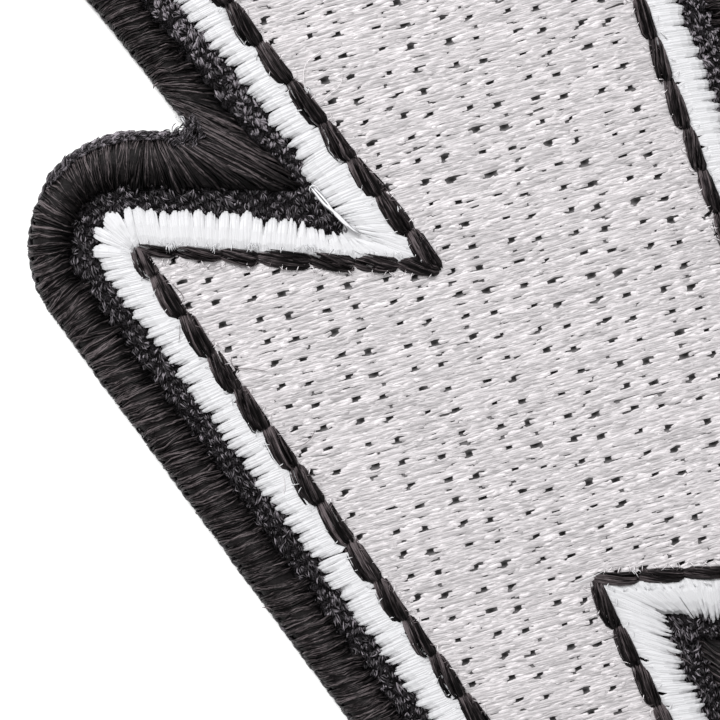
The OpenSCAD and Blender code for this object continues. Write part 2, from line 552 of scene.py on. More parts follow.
def thread_paint(
    name, colour, depth, levels, shine, streaks, relief, sparse=1.0, specks=0.0, twist=0.0,
    grain=0.8,
):
    """Filament thread: fine streaks run along each strand, and no two strands match. On black
    thread the bright streaks are painted sheen.

    depth is the share of the colour left in the darkest streaks, levels are the noise's
    values from dark to bright, streaks is how many go round a strand, and relief is their
    depth in millimetres. sparse above one makes the bright streaks fewer, specks mixes in
    bright patches as painted highlights, twist winds the streaks round, and grain is how often
    they change along the strand, for each millimetre."""
    paint = Paint(name)
    round_it, along = paint.parts(paint.node("UVMap", uv_map="thread"))
    tone, glint = (
        paint.node("Attribute", output=2, attribute_name=key) for key in ("tone", "glint")
    )
    lines = paint.vector(round_it * streaks + along * twist, along * grain, tone * 57.0)
    filaments = paint.noise(lines, 1.0, 4.0, 0.65)
    marks = paint.vector(round_it * 2.0, along * 1.6, tone * 91.0)
    patches = paint.noise(marks, 1.0, 1.0)
    mixed = filaments * 0.72 + patches * 0.14 + tone * 0.14
    level = paint.ramp(mixed, *levels) * (1.0 - specks) + paint.ramp(patches, 0.58, 0.7) * specks
    # Each ring's painted light and shade, with random tone, brightens or darkens the colour
    level = (level * (glint + 1.0)).math("MAXIMUM", 0.0).math("POWER", sparse)
    body = paint.mix(level, colour, depth, 1.0)
    height = filaments + patches * 0.3
    return paint.finished(body, 0.42, shine, height, relief=relief * MM)


def packed_paint(name, colour, dark, bright, scale, shine=0.5):
    """Packed fibre that shows only between the strands."""
    paint = Paint(name)
    fibres = paint.noise(paint.spot(), scale)
    body = paint.mix(fibres, colour, dark, bright)
    return paint.finished(body, 0.6, shine, height=fibres)


def twill_paint(name, colour, pitch):
    """Black twill: short raised floats in diagonal steps, with a dusty fuzz."""
    paint = Paint(name)
    spot = paint.spot()
    x, y = paint.parts(spot)
    right = x / pitch
    shifted = y / (pitch * 1.5) + right.math("FLOOR") * 0.37
    bulge = (right.math("FRACT") * math.pi).math("SINE")
    crown = bulge * (shifted.math("FRACT") * math.pi).math("SINE")
    fibres = paint.noise(spot, 9000.0)
    # Painted light on each float's crown, on top of the fuzz's own grain
    light = crown * 0.3 + (fibres - 0.5) * 2.2 + (paint.noise(spot, 900.0) - 0.5) * 0.5
    body = paint.mix(light, colour, 0.005, 0.16)
    height = crown + fibres * 0.35
    return paint.finished(body, roughness=0.75, shine=0.03, height=height, relief=0.15 * MM)


LENGTH = {"unit": "LENGTH", "precision": 5}
COLOUR = {"subtype": "COLOR", "size": 3, "min": 0, "max": 1}


class PatchSizes(bpy.types.PropertyGroup):
    """Sizes of the stitching."""

    row_pitch: FloatProperty(
        name="Fill row pitch", description="Distance between rows of the silver filling",
        default=0.397 * MM, min=0.2 * MM, **LENGTH,
    )
    fill_angle: FloatProperty(
        name="Fill angle", description="Rise of the filling's rows to the right",
        default=math.radians(17.5), subtype="ANGLE",
    )
    hole_length: FloatProperty(
        name="Needle hole", description="Length of the open needle holes in the filling",
        default=0.56 * MM, **LENGTH,
    )
    satin_pitch: FloatProperty(
        name="Satin pitch", description="Distance between loops of the white satin band",
        default=0.79 * MM, min=0.3 * MM, **LENGTH,
    )
    outline_stitch: FloatProperty(
        name="Outline stitch", description="Length of the black outline's stitches",
        default=3.2 * MM, min=1 * MM, **LENGTH,
    )
    wrap_pitch: FloatProperty(
        name="Wrap pitch", description="Distance between wraps of the overlocked edge",
        default=0.45 * MM, min=0.2 * MM, **LENGTH,
    )
    chain_pitch: FloatProperty(
        name="Chain pitch", description="Length of one plait of the chain round the rim",
        default=2.4 * MM, min=0.5 * MM, **LENGTH,
    )
    yarn_pitch: FloatProperty(
        name="Yarn pitch", description="Distance between the twill's yarns",
        default=0.62 * MM, min=0.3 * MM, **LENGTH,
    )
    seed: IntProperty(name="Seed", description="Start of the small irregularities", default=7)


class PatchColours(bpy.types.PropertyGroup):
    """Colours of the threads, the cloth and the table."""

    silver: FloatVectorProperty(
        name="Silver thread", description="Colour of the filling",
        default=(0.615, 0.586, 0.599), **COLOUR,
    )
    white: FloatVectorProperty(
        name="White thread", description="Colour of the satin band",
        default=(0.54, 0.54, 0.554), **COLOUR,
    )
    black: FloatVectorProperty(
        name="Black thread", description="Colour of the outline and the overlocked edge",
        default=(0.119, 0.1, 0.104), **COLOUR,
    )
    twill: FloatVectorProperty(
        name="Black twill", description="Colour of the cloth",
        default=(0.258, 0.234, 0.259), **COLOUR,
    )
    table: FloatVectorProperty(
        name="Table", description="Colour of the floor",
        default=(0.97, 0.97, 0.97), **COLOUR,
    )


def sizes():
    return bpy.context.scene.patch_sizes


def colours():
    return bpy.context.scene.patch_colours


def luck(offset):
    return np.random.default_rng(sizes().seed + offset)


# Where the open needle holes lie along four neighbouring gaps between the filling's rows, and
# how far apart they are along each, in millimetres
HOLES = np.array([0, 2.66, 4.5, 7.16])
HOLE_REPEAT = 9.0
# One of the holes, from the left step's corner
HOLE_START = np.array([25.95, -8.66])
# Half the length and half the width of the painted shadow under each
HOLE_SHADOW = (0.36, 0.19)


def hole_near(gap, distance):
    """The nearest open hole to a distance along a gap between rows, in millimetres."""
    offset = HOLES[np.asarray(-gap).astype(int) % 4]
    return offset + HOLE_REPEAT * np.rint((distance - offset) / HOLE_REPEAT)


def underlay_paint(way, rise, pitch):
    """The underlay: a dark sheet of painted shade under the strands, darkest in a painted shadow
    where each needle hole opens.
    """
    paint = Paint("silver_underlay")
    x, y = (
        part / MM - start for part, start in zip(paint.parts(paint.spot()), HOLE_START - MIDDLE)
    )
    along = x * way[0] + y * way[1]
    gap = (x * rise[0] + y * rise[1]) / pitch
    holes = 0.0
    for across, up in ((0.0, 0.0), (HOLES[1], -1.0)):
        line = (gap - up) * 0.5
        nearest = line.math("ROUND")
        run = (along - across + nearest * (HOLE_REPEAT / 2)) / HOLE_REPEAT
        off = (run - run.math("ROUND")) * HOLE_REPEAT / HOLE_SHADOW[0]
        high = (line - nearest) * (2 * pitch) / HOLE_SHADOW[1]
        holes = paint.ramp(off * off + high * high, 1.8, -0.1) + holes
    # Painted shade: dark under the strands, darkest in each needle hole
    body = paint.mix(holes, colours().silver, 0.25, 0.005)
    return paint.finished(body, roughness=0.7, shine=0.1)


def fill_stitches(edge_along, edge_up, pitch):
    """Each strand as (its place in the row, height up the bolt, its two ends, how open
    each end is)."""
    rng = luck(1)
    found = []
    after_along, after_up = np.roll(edge_along, -1), np.roll(edge_up, -1)
    for row in range(math.floor(edge_up.min() / pitch), math.ceil(edge_up.max() / pitch)):
        for strand in (-1, 0, 1):
            level = (row + 0.5 + strand / 3) * pitch
            cut = (edge_up > level) != (after_up > level)
            share = (level - edge_up[cut]) / (after_up[cut] - edge_up[cut])
            ends = np.sort(edge_along[cut] + (after_along[cut] - edge_along[cut]) * share)
            for left, right in zip(ends[::2], ends[1::2]):
                points = needle_points(left, right, row, strand, rng)
                for start, end in zip(points, points[1:]):
                    found.append((strand, level, start[0], end[0], start[1], end[1]))
    return found


def needle_points(left, right, row, strand, rng):
    """Where one strand of a row goes down, and how open the hole is there."""
    gap = row + 1 if strand > 0 else row
    points = []
    first = hole_near(gap, left) - HOLE_REPEAT
    while first < right:
        if strand:
            wide = rng.uniform(1.5, 3.0) if rng.random() < 0.09 else rng.uniform(0.6, 1.2)
            points.append((first + rng.normal(0, 0.06), wide))
            middle = first + HOLE_REPEAT / 2
        else:
            points.append((first + 2.0 + rng.normal(0, 0.4), 0.1))
            middle = first + 2.0 + HOLE_REPEAT / 2
        slit = rng.uniform(0.3, 0.9) if rng.random() < 0.35 else rng.uniform(0.0, 0.2)
        slit = rng.uniform(1.8, 3.0) if rng.random() < 0.03 else slit
        points.append((middle + rng.normal(0, 0.5), slit))
        first += HOLE_REPEAT
    points = [p for p in points if left + 0.5 < p[0] < right - 0.5]
    return [(left, 0.0), *points, (right, 0.0)]


# Height of the filling's strands above the twill, in millimetres
FILL_CROWN = 0.48
# Steps along each strand of the filling: [share of its length, share of the bend at its end,
# how far it dives there, how much it bulges and takes a painted highlight beside an open hole]
FILL_STEPS = np.array([
    [0, 0, 1, 0],
    [0, 0.3, 0.5, 0.6],
    [0, 1, 0, 1],
    [0.28, 0, 0, 0],
    [0.5, 0, 0, 0],
    [0.72, 0, 0, 0],
    [1, 1, 0, 1],
    [1, 0.3, 0.5, 0.6],
    [1, 0, 1, 0],
])


def fill_strands(stitches, pitch):
    """The rings of every strand, which dive where they go into their holes."""
    strand, level, left, right, open_left, open_right = (c[:, None] for c in stitches.T)
    run, bends, dive, beside = FILL_STEPS.T
    rng = luck(2)
    reach = sizes().hole_length / 2 / MM
    slant = -0.13 * strand
    left = left + (reach + slant) * open_left
    right = right - (reach - slant) * open_right
    length = right - left
    bend = np.minimum(0.4, length * 0.2)
    along = left + length * run + bend * bends * np.where(run > 0.9, -1, 1)
    shape = along.shape
    drift = rng.normal(-0.014, 0.012, (len(along), 1))
    up = level + drift * (along - (left + right) / 2) + rng.normal(0, 0.026, shape)
    own_open = np.where(run < 0.4, open_left, open_right)
    opened = own_open * dive
    blunt = 0.42 * np.minimum(opened, 1) * (abs(strand) > 0)
    wide = 0.15 * (1 - 0.28 * dive + blunt) * rng.normal(1, 0.07, (len(along), 1))
    # Strands that pass a hole in the gap beside them bend away from it and grow thinner
    for side in (-1, 1):
        gap = np.rint(level / pitch + side * 0.5 - 1e-3)
        off = level - gap * pitch
        spot = hole_near(gap, along) + 0.12 * np.sign(off)
        near = np.exp(-(((along - spot) / 0.27) ** 2)) * (abs(off) > 0.1)
        up = up + np.sign(off) * near * rng.uniform(0.08, 0.2, (len(along), 1))
        wide = wide * (1 - 0.32 * near)
    height = TWILL_TOP + FILL_CROWN + rng.normal(0, 0.02, shape)
    beside = beside * np.minimum(own_open, 1)
    height = height - dive**3 * FILL_CROWN + 0.05 * beside
    tone = rng.random(len(along))
    # Painted highlight beside an open hole, painted shade where the strand dives into it, and
    # random tone
    glint = 0.42 * beside + rng.normal(0, 0.11, shape)
    glint = glint - 0.9 * (dive > 0.9) * (opened > 0.3) - 0.2 * (dive > 0.9)
    return along, up, height, wide, tone, glint


class PATCH_OT_fill(bpy.types.Operator):
    """Sews the silver filling, in rows of long stitches with open needle holes"""

    bl_idname = "patch.sew_fill"
    bl_label = "Silver filling"

    def execute(self, context):
        size = sizes()
        pitch = size.row_pitch / MM
        way = np.array([math.cos(size.fill_angle), math.sin(size.fill_angle)])
        rise = turned_left(way)
        edge = (ring(SILVER_EDGE, -0.1) / MM + MIDDLE - HOLE_START).reshape(-1, 2)
        stitches = np.array(fill_stitches(edge @ way, edge @ rise, pitch))
        stitches = stitches[np.argsort(stitches[:, 1])]
        material = thread_paint(
            "silver_filament", colours().silver, depth=0.25, levels=(0.22, 0.58), shine=0.22,
            streaks=4.5, relief=0.009, specks=0.3, twist=-2.6,
        )
        underlay = copy_solid("silver_fill_underlay", "silver_fill", shrink=0.02 * MM, flatten=0.55)
        finish_piece(underlay, underlay_paint(way, rise, pitch), "silver_fill")
        for name, part in zip(
            ("silver_fill_tail", "silver_fill_waist", "silver_fill_head"),
            np.array_split(stitches, 3),
        ):
            along, up, height, wide, tone, glint = fill_strands(part, pitch)
            plan = HOLE_START - MIDDLE + along[..., None] * way + up[..., None] * rise
            sew(name, "silver_fill", material, plan * MM, height, wide * MM, 0.025 * MM, tone,
                glint, smooth=False)
        return {"FINISHED"}


# Where the strands of a loop of satin lie across it, as shares of the loops' pitch
SATIN_STRANDS = (-0.45, -0.3, -0.15, 0.0, 0.15, 0.3, 0.45)
# Steps along each loop, from the outline outwards: [share of the way, height above the twill in
# millimetres, spread of its strands, how much its side strands droop, their width, painted light
# and shade on them]
SATIN_STEPS = np.array([
    [0, 0.3, 0.85, 0, 0.9, -0.45],
    [0.14, 0.56, 1, 0.1, 1, -0.2],
    [0.34, 0.66, 1.06, 0.2, 1, 0],
    [0.62, 0.62, 1.06, 0.4, 1, 0.05],
    [0.83, 0.46, 1.06, 1, 0.97, 0.05],
    [0.94, 0.27, 1, 1.4, 0.85, 0],
    [1, 0.04, 0.94, 1, 0.45, -0.05],
])


def satin_strands(band, pitch):
    """The rings of every strand of the satin loops."""
    rng = luck(3)
    at = band.stations(pitch)
    at = at + rng.normal(0, 0.07 * MM, len(at))
    many = len(at)
    one = (many, 1)
    share, climb, spread, droop, taper, shine = SATIN_STEPS.T
    spread = np.tile(spread, one)
    pinched = rng.random(many) < band.on_edge(at, SATIN_PINCHES)
    spread[:, 1] *= np.where(pinched, rng.uniform(0.45, 0.75, many), 1)
    tilt = rng.normal(0, 0.06 * MM, many)
    near, far = band.ends(at)[0], band.ends(at + tilt)[1]
    overshoot = band.on_edge(at, SATIN_REACH)[:, None] + rng.normal(0, 0.07, one)
    teeth = band.on_edge(at, SATIN_TEETH)[:, None] * rng.uniform(0.5, 1.4, one)
    gap = band.spacing(at, pitch, share)
    fanning = gap[:, -1:] / gap[:, :1]
    teeth = teeth * (1 + 0.9 * np.clip(fanning - 1.2, 0, 1))
    tip = rng.uniform(-0.2, 0.2, one)
    frays = band.on_edge(at, SATIN_FRAYS)[:, None] + 0.25 * np.clip(1 - fanning, 0, 1)
    strands = []
    for offset in SATIN_STRANDS:
        own = at + (offset * pitch + rng.normal(0, 0.03 * MM, many))
        own_near, own_far = band.ends(own)[0], band.ends(own + tilt)[1]
        reach = overshoot - teeth * abs(2 * (offset - tip)) ** 2.2
        reach = reach + frays * rng.normal(0, 1, one)
        length = np.linalg.norm(own_far - own_near, axis=1)[:, None] / MM
        shares = share * (1 + reach / length)
        middle = between(near, far, shares)
        plan = middle + (between(own_near, own_far, shares) - middle) * spread[..., None]
        plan = plan + rng.normal(0, 0.012 * MM, plan.shape)
        drop = 0.4 * offset**2 * droop
        height = TWILL_TOP + 0.07 + climb - drop + rng.normal(0, 0.01, one)
        strands.append((plan, height, gap, band.on_edge(at, SATIN_OUTER_SHADE)[:, None]))
    plan, height, gap, shade = joined(strands)
    wide = gap * 0.2 * taper
    wide = wide * rng.normal(1, 0.15, (len(plan), 1))
    tone = rng.random(len(plan))
    # Painted shade at the inner ends by the outline and at the outer ends, with random tone
    glint = shine - shade * share + rng.normal(0, 0.1, (len(plan), len(share)))
    glint[:, :2] += rng.normal(0, 0.3, (len(plan), 2))
    return plan, height, wide, np.minimum(wide * 0.17, 0.026 * MM), tone, glint


class PATCH_OT_satin(bpy.types.Operator):
    """Sews the white satin band, in plump loops that fan round the corners"""

    bl_idname = "patch.sew_satin"
    bl_label = "White satin band"

    def execute(self, context):
        node = "white_satin_border"
        white = colours().white
        padding = copy_solid("white_satin_padding", node, shrink=0.12 * MM, flatten=0.72)
        draw_in(padding, dense_ring(SATIN_EDGE / 2, grow=0.05, steps=60), share=0.36)
        paint = packed_paint("white_underlay", white, dark=0.7, bright=0.95, scale=4000.0)
        finish_piece(padding, paint, node)
        band = Band((SILVER_EDGE, 0.2), (SATIN_EDGE, 0.08), SATIN_LEANS)
        material = thread_paint(
            "white_filament", white, depth=0.72, levels=(0.13, 0.45), shine=0.15, streaks=3.0,
            relief=0.005,
        )
        strands = satin_strands(band, sizes().satin_pitch)
        sew("white_satin_stitches", node, material, *strands, smooth=False)
        return {"FINISHED"}


# Where the stitches of the outline meet on three of its edges, from the left step's corner or,
# on the edge above the left notch, from that notch, in millimetres. The rest are even.
OUTLINE_JOINTS = {
    4: (-0.25, 1.8, 5.1),
    5: (0, 2.45, 5.6, 8.1, 11.7, 14.7, 17.7),
    6: (0, 3.3, 6.55, 9.65, 12.8, 16.45, 19.8),
}
# The way in which the outline is sewn along every edge: down the bolt, and to the right
SEWING_WAY = np.array([0.5, -1.0])
# The strands of each outline stitch, the last of which stray
OUTLINE_STRANDS = 28
OUTLINE_STRAYS = 3
# Steps along each stitch: [share of its length, half its width, height above the twill and
# half its thickness in millimetres, painted light at its start and painted shade at its end]
OUTLINE_STEPS = np.array([
    [0, 0.4, 0.05, 0.12, 1.1],
    [0.12, 0.5, 0.3, 0.2, 1.6],
    [0.36, 0.58, 0.6, 0.24, 0.4],
    [0.66, 0.62, 0.74, 0.25, -0.3],
    [0.9, 0.6, 0.68, 0.22, -0.5],
    [1, 0.42, 0.5, 0.16, -0.7],
])


def sew_spindles(starts, ends, left, level, rng):
    """Sews the strands of every stitch, thickest where it comes up over the next one."""
    share, width, rise, thick, shine = OUTLINE_STEPS.T
    width = width * level
    one = (len(starts), 1)
    way = unit(ends - starts)
    middle = between(starts, ends, np.tile(share, one))
    middle = middle - left[:, None] * (0.12 * share**2 * (1 - share) * 6 * MM)[:, None]
    turn = rng.uniform(0.05, 0.3, one)
    phase = rng.uniform(0, math.tau, one)
    square = rng.uniform(0.1, 0.35, one)
    # Painted light: level stitches get less of it
    bright = 1 - 0.6 * (abs(way[:, :1]) > NEARLY_LEVEL)
    strands = []
    for k in range(OUTLINE_STRANDS):
        angle = phase + (k / OUTLINE_STRANDS + turn * share) * math.tau
        angle = angle + rng.normal(0, 0.12, one)
        stray = k >= OUTLINE_STRANDS - OUTLINE_STRAYS
        out = rng.uniform(1.0, 1.3, one) if stray else rng.uniform(0.8, 1.0, one)
        side = np.cos(angle) * width * out + rng.normal(0, 0.014, (len(starts), len(share)))
        slide = (side * square * 0.6 + rng.normal(0, 0.05, one)) * share
        plan = middle + left[:, None] * side[..., None] * MM
        plan = plan + way[:, None] * (slide * MM)[..., None]
        height = TWILL_TOP + rise + np.sin(angle) * thick * out
        strands.append((plan, height, width * (0.4 if stray else 1.0), bright))
    plan, height, wide, bright = joined(strands)
    wide = wide * 0.19 * rng.normal(1, 0.12, (len(plan), 1)) * MM
    tone = rng.random(len(plan))
    # Painted light on each stitch's start and painted shade at its end, as lit from the upper left,
    # with random tone
    glint = bright * shine + rng.normal(0, 0.35, wide.shape) + rng.normal(0, 0.4, (len(plan), 1))
    material = thread_paint(
        "black_outline_filament", colours().black, depth=0.01, levels=(0.42, 0.68), sparse=1.5,
        shine=0.12, streaks=5.0, relief=0.012, grain=0.9,
    )
    sew("black_outline_stitches", "black_outline", material, plan, height, wide,
        thick * 0.22 * MM, tone, glint, smooth=False)


class PATCH_OT_outline(bpy.types.Operator):
    """Sews the black outline, in overlapping spindle stitches of several strands"""

    bl_idname = "patch.sew_outline"
    bl_label = "Black outline"

    def execute(self, context):
        rng = luck(4)
        rows = []
        corners = (CORNERS - MIDDLE) * MM
        for i in range(COUNT):
            first, last = corners[i], corners[(i + 1) % COUNT]
            if (last - first) @ SEWING_WAY < 0:
                first, last = last, first
            length = np.linalg.norm(last - first) / MM
            own = OUTLINE_JOINTS.get(i, (0.0,))
            count = round((length - own[-1]) * MM / sizes().outline_stitch)
            even = np.linspace(own[-1], length, count + 1)[1:]
            even[:-1] += rng.normal(0, 0.15, count - 1)
            marks = np.array([*own, *even]) / length
            if i == NOTCH_EDGE:
                marks = 1 - marks[::-1]
            spots = first + (last - first) * marks[:, None]
            rows.append((spots[:-1], spots[1:], np.tile(OUTWARD[i], (len(spots) - 1, 1))))
        starts, ends, outs = joined(rows)
        way = unit(ends - starts)
        left = turned_left(way)
        # Each stitch starts under the one before, and passes a little to its side
        sway = rng.normal(0, 0.05, (len(way), 1))
        starts = starts + left * (0.12 + sway) * MM - way * 0.35 * MM
        ends = ends - left * (0.1 + sway) * MM + way * 0.25 * MM
        # How plump the stitches are: slimmest at the steps' corners, fullest on the left sides
        level = np.clip(0.6 + from_outer_steps(starts)[:, None] / 26, 0.6, 0.9)
        flat = abs(way[:, :1]) > NEARLY_LEVEL
        under = flat & (outs[:, 1:] < 0)
        level = np.where(flat, level, np.where(outs[:, :1] > 0, 0.8, 1.0))
        level = np.where(under, 0.7, level)
        shift = outs * MM * np.where(flat, (1 - level) * 0.5, 0)
        shift = np.where(under, outs * -0.1 * MM, shift)
        sew_spindles(starts + shift, ends + shift, left, level, rng)
        return {"FINISHED"}


# Loose fibres that lie over the stitching, by colour: [half width, height above the twill,
# points from the left step's corner], in millimetres
LOOSE_FIBRES = {
    "white": [
        (0.14, 1, [(11.9, 4.5), (12.9, 3.2), (13.7, 2.65), (14.8, 1.5), (15.4, 1.2)]),
        (0.11, 0.98, [(12.05, 4.5), (13.1, 3.4), (13.5, 2.7), (14.1, 2.05), (15.2, 1.2)]),
        (0.09, 0.93, [(12.0, 4.2), (13.2, 3.1), (13.9, 2.2), (14.7, 1.75), (15.3, 1.4)]),
        (0.045, 0.95, [(11.8, 4.2), (12.0, 4.5), (12.35, 4.5), (12.55, 4.2), (12.8, 3.9)]),
        (0.04, 0.95, [(12.0, 4.0), (11.85, 4.3), (12.1, 4.6), (12.5, 4.3)]),
        (0.02, 0.95, [(-0.34, 0.21), (-0.41, -0.14), (-0.27, -0.48), (0, -0.89)]),
        (0.03, 1, [(29.93, -22.81), (30.55, -22.47), (31.23, -22.19), (31.99, -21.85)]),
    ],
    "silver": [
        (0.026, 0.72, [(12.81, 13.9), (11.64, 12.95), (11.44, 12.33), (11.58, 10.75)]),
        (0.026, 0.72, [(14.04, 12.4), (14.18, 11.85), (13.84, 11.23), (12.47, 10.14)]),
        (0.026, 0.8, [(9.93, -15.07), (10.14, -15.48), (10.21, -16.03), (10.07, -16.85)]),
    ],
    "black": [
        (0.028, 0.72, [(6.6, -7.1), (6.4, -7.6), (6.9, -8.0), (7.9, -8.0), (9.1, -8.2)]),
        (0.028, 0.72, [(10.5, -13.4), (11.4, -13.25), (12.0, -12.8), (12.3, -12.1)]),
        (0.028, 0.78, [(2.4, -2.1), (3.1, -2.8), (3.3, -3.1), (3.1, -3.6)]),
        (0.028, 0.78, [(4.1, -5.1), (4.6, -5.6), (4.97, -6.1), (5.0, -6.5)]),
        (0.022, 0.92, [(3.0, -5.0), (3.05, -5.5), (2.95, -6.3)]),
        (0.07, 0.4, [(1.7, 11.75), (1.4, 11.55), (1.22, 11.4), (1.15, 11.22)]),
        (0.06, 0.3, [(9.8, -24.8), (9.3, -24.5), (8.95, -24.35), (8.6, -24.4)]),
        (0.026, 0.92, [(36.3, -27.2), (36.9, -27.6), (37.6, -27.9), (38.1, -28.3)]),
        (0.022, 0.92, [(41.0, 13.2), (42.2, 12.9), (42.9, 13.3), (43.2, 14.0)]),
    ],
}
# Steps along each of them
LOOSE_RINGS = 10
# Points along each that are smoothed first, and how many times
CURVE_POINTS = 61
CURVE_ROUNDS = 20
# Small tufts of white fibre: [across and up from the left step's corner, direction in degrees,
# height above the twill, how many fibres], in millimetres
TUFTS = [
    (2.38, 0.55, -88, 0.95, 14),
    (5.5, 0.45, -95, 0.95, 8),
    (8.01, 0.55, -88, 0.95, 14),
    (11.75, 0.5, -80, 0.95, 10),
    (11.55, 11.25, -70, 0.85, 5),
    (17.9, 3.2, -80, 0.85, 4),
    (2.8, 9.2, -30, 1.5, 6),
    (34.1, -21.75, -60, 0.95, 3),
]
# Ends of filaments along the outline: [colour, node, side of the outline, spacing on the steps
# and elsewhere, distance of the root from the silver's edge, range of the tip's distance,
# heights above the twill, range of the half width], in millimetres
FRINGES = [
    ("white", "white_satin_border", 1, (0.55, 1.3), 0.85, (0.36, 0.62), (0.78, 0.88, 0.89),
     (0.02, 0.045)),
    ("silver", "silver_fill", -1, (0.55, 1.3), 0.85, (0.36, 0.62), (0.55, 0.84, 0.85),
     (0.02, 0.045)),
    ("black", "black_outline", -1, (1.1, 0.5), 0.3, (0.52, 0.85), (0.8, 0.76, 0.62),
     (0.014, 0.028)),
]


def curve_through(points):
    """Evenly spaced points along a smooth line through a few."""
    points = np.array(points)
    distance = distances(points)
    line = placed(np.linspace(0, 1, CURVE_POINTS), distance / distance[-1], points)
    for _ in range(CURVE_ROUNDS):
        line[1:-1] = (line[:-2] + 2 * line[1:-1] + line[2:]) / 4
    return line[np.linspace(0, CURVE_POINTS - 1, LOOSE_RINGS).astype(int)]


def lay_fringe(name, node, material, side, pitches, root, tips, heights, widths):
    """Ends of single filaments that lie over the edge of the outline, on one side of it."""
    rng = luck(13 + side)
    rows = []
    for i in range(COUNT):
        length = np.linalg.norm(CORNERS[(i + 1) % COUNT] - CORNERS[i])
        pitch = pitches[0 if abs(ALONG[i][0]) > NEARLY_LEVEL else 1]
        run = np.arange(0.8, length - 0.8, pitch)
        run = run + rng.normal(0, 0.25, len(run))
        rows.append((CORNERS[i] + ALONG[i] * run[:, None],
                     np.tile(OUTWARD[i] * side, (len(run), 1))))
    spots, ways = joined(rows)
    one = (len(spots), 1)
    tilt = turned_left(ways) * rng.normal(0, 0.14, one)
    start = spots + ways * root + tilt
    tip = spots + ways * rng.uniform(*tips, one) - tilt
    middle = (start + tip) / 2 + rng.normal(0, 0.03, spots.shape)
    plan = np.stack([start, middle, tip], axis=1) - MIDDLE
    height = TWILL_TOP + (heights + rng.normal(0, 0.02, one))
    wide = rng.uniform(*widths, one) * np.array([1, 1, 0.4]) * MM
    sew(name, node, material, plan * MM, height, wide, wide * 0.6, rng.random(len(spots)))


def tuft_fibres():
    """Short fibres that lie nearly side by side at each tuft's place."""
    rng = luck(11)
    fibres = []
    for x, y, angle, height, many in TUFTS:
        for _ in range(many):
            way = rising(angle + rng.normal(0, 17))
            root = np.array([x, y]) + rng.normal(0, 1, 2) * (0.16, 0.07)
            bend = turned_left(way) * rng.normal(0, 0.07)
            length = rng.uniform(0.3, 0.75)
            points = [root, root + way * length / 2 + bend, root + way * length]
            fibres.append((rng.uniform(0.02, 0.032), height + rng.normal(0, 0.03), points))
    return fibres


def lay_fibres(name, node, material, fibres):
    """Lays fibres that thin out and dip at their ends."""
    thin, high, lines = zip(*fibres)
    plan = np.array([curve_through(points) for points in lines]) - MIDDLE
    share = np.linspace(0, 1, LOOSE_RINGS)
    height = TWILL_TOP + np.array(high)[:, None] - 0.25 * abs(2 * share - 1) ** 3
    wide = np.array(thin)[:, None] * np.clip(4 * np.minimum(share, 1 - share) + 0.3, 0, 1) * MM
    tone = luck(12).random(len(fibres))
    sew(name, node, material, plan * MM, height, wide, wide * 0.5, tone)


class PATCH_OT_loose(bpy.types.Operator):
    """Lays the few loose fibres and tufts that stand out of the stitching"""

    bl_idname = "patch.lay_loose_fibres"
    bl_label = "Loose fibres"

    def execute(self, context):
        paints = {}
        for colour, node, *_ in FRINGES:
            # Painted light: the loose fibres get their thread's colour made 1.3 times lighter
            bright = shaded(getattr(colours(), colour), 1.3)
            paints[colour] = thread_paint(
                colour + "_loose", bright, depth=0.7, levels=(0.1, 0.4), shine=0.3, streaks=2.0,
                relief=0.005,
            )
            tufts = tuft_fibres() if colour == "white" else []
            fibres = tufts + LOOSE_FIBRES[colour]
            lay_fibres(colour + "_loose_fibres", node, paints[colour], fibres)
        for colour, node, *row in FRINGES:
            lay_fringe(colour + "_fringe", node, paints[colour], *row)
        return {"FINISHED"}


# Lumps of the chain that fill the left notch, from the left step's corner, in millimetres
NOTCH_LUMPS = [(3.3, 8.85), (3.8, 8.7), (3.15, 8.2), (3.6, 8.1), (3.8, 7.6)]
# Where the strands of a wrap lie across it, as shares of the wraps' pitch
WRAP_STRANDS = (-0.4, -0.2, 0.0, 0.2, 0.4)
# Steps along each wrap over the edge: [line of the border, height in millimetres, spread of its
# strands, their width, painted light and shade on them, how much that changes on the broad outer
# steps]
WRAP_STEPS = np.array([
    [2.0, 0.98, 0.8, 0.7, -0.7, -0.2],
    [2.06, 1.5, 0.9, 0.9, -0.5, -0.35],
    [2.2, 1.92, 1, 1, -0.2, -0.35],
    [2.45, 2.16, 1, 1, 0, 0.1],
    [2.72, 2.04, 1, 1, -0.05, 0.45],
    [2.93, 1.5, 0.9, 1, -0.2, 0.4],
    [3.0, 0.8, 0.8, 1, -0.4, 0],
    [2.9, 0.2, 0.9, 1, -0.4, 0],
    [2.3, 0.09, 1, 0.8, -0.4, 0],
])
# Its crown, among those
WRAP_CROWN = 4
# Steps along each plait of the chain, and the short fibres over each, in three lumps
CHAIN_RINGS = 9
KNOT_FIBRES = 27


def drawn_up(points):
    """One where the chain is drawn up on to the edge, between an outer step and its notch."""
    most = 0
    for k, side in zip(OUTER_STEPS, (-1, 1)):
        way = points / MM + MIDDLE - CORNERS[k]
        away = np.linalg.norm(way, axis=-1)
        facing = way @ (side * np.array([-0.17, 0.98])) / away
        near = np.clip((10.5 - away) / 1.5, 0, 1)
        most = np.maximum(most, near * np.clip((facing - 0.6) / 0.2, 0, 1))
    return most


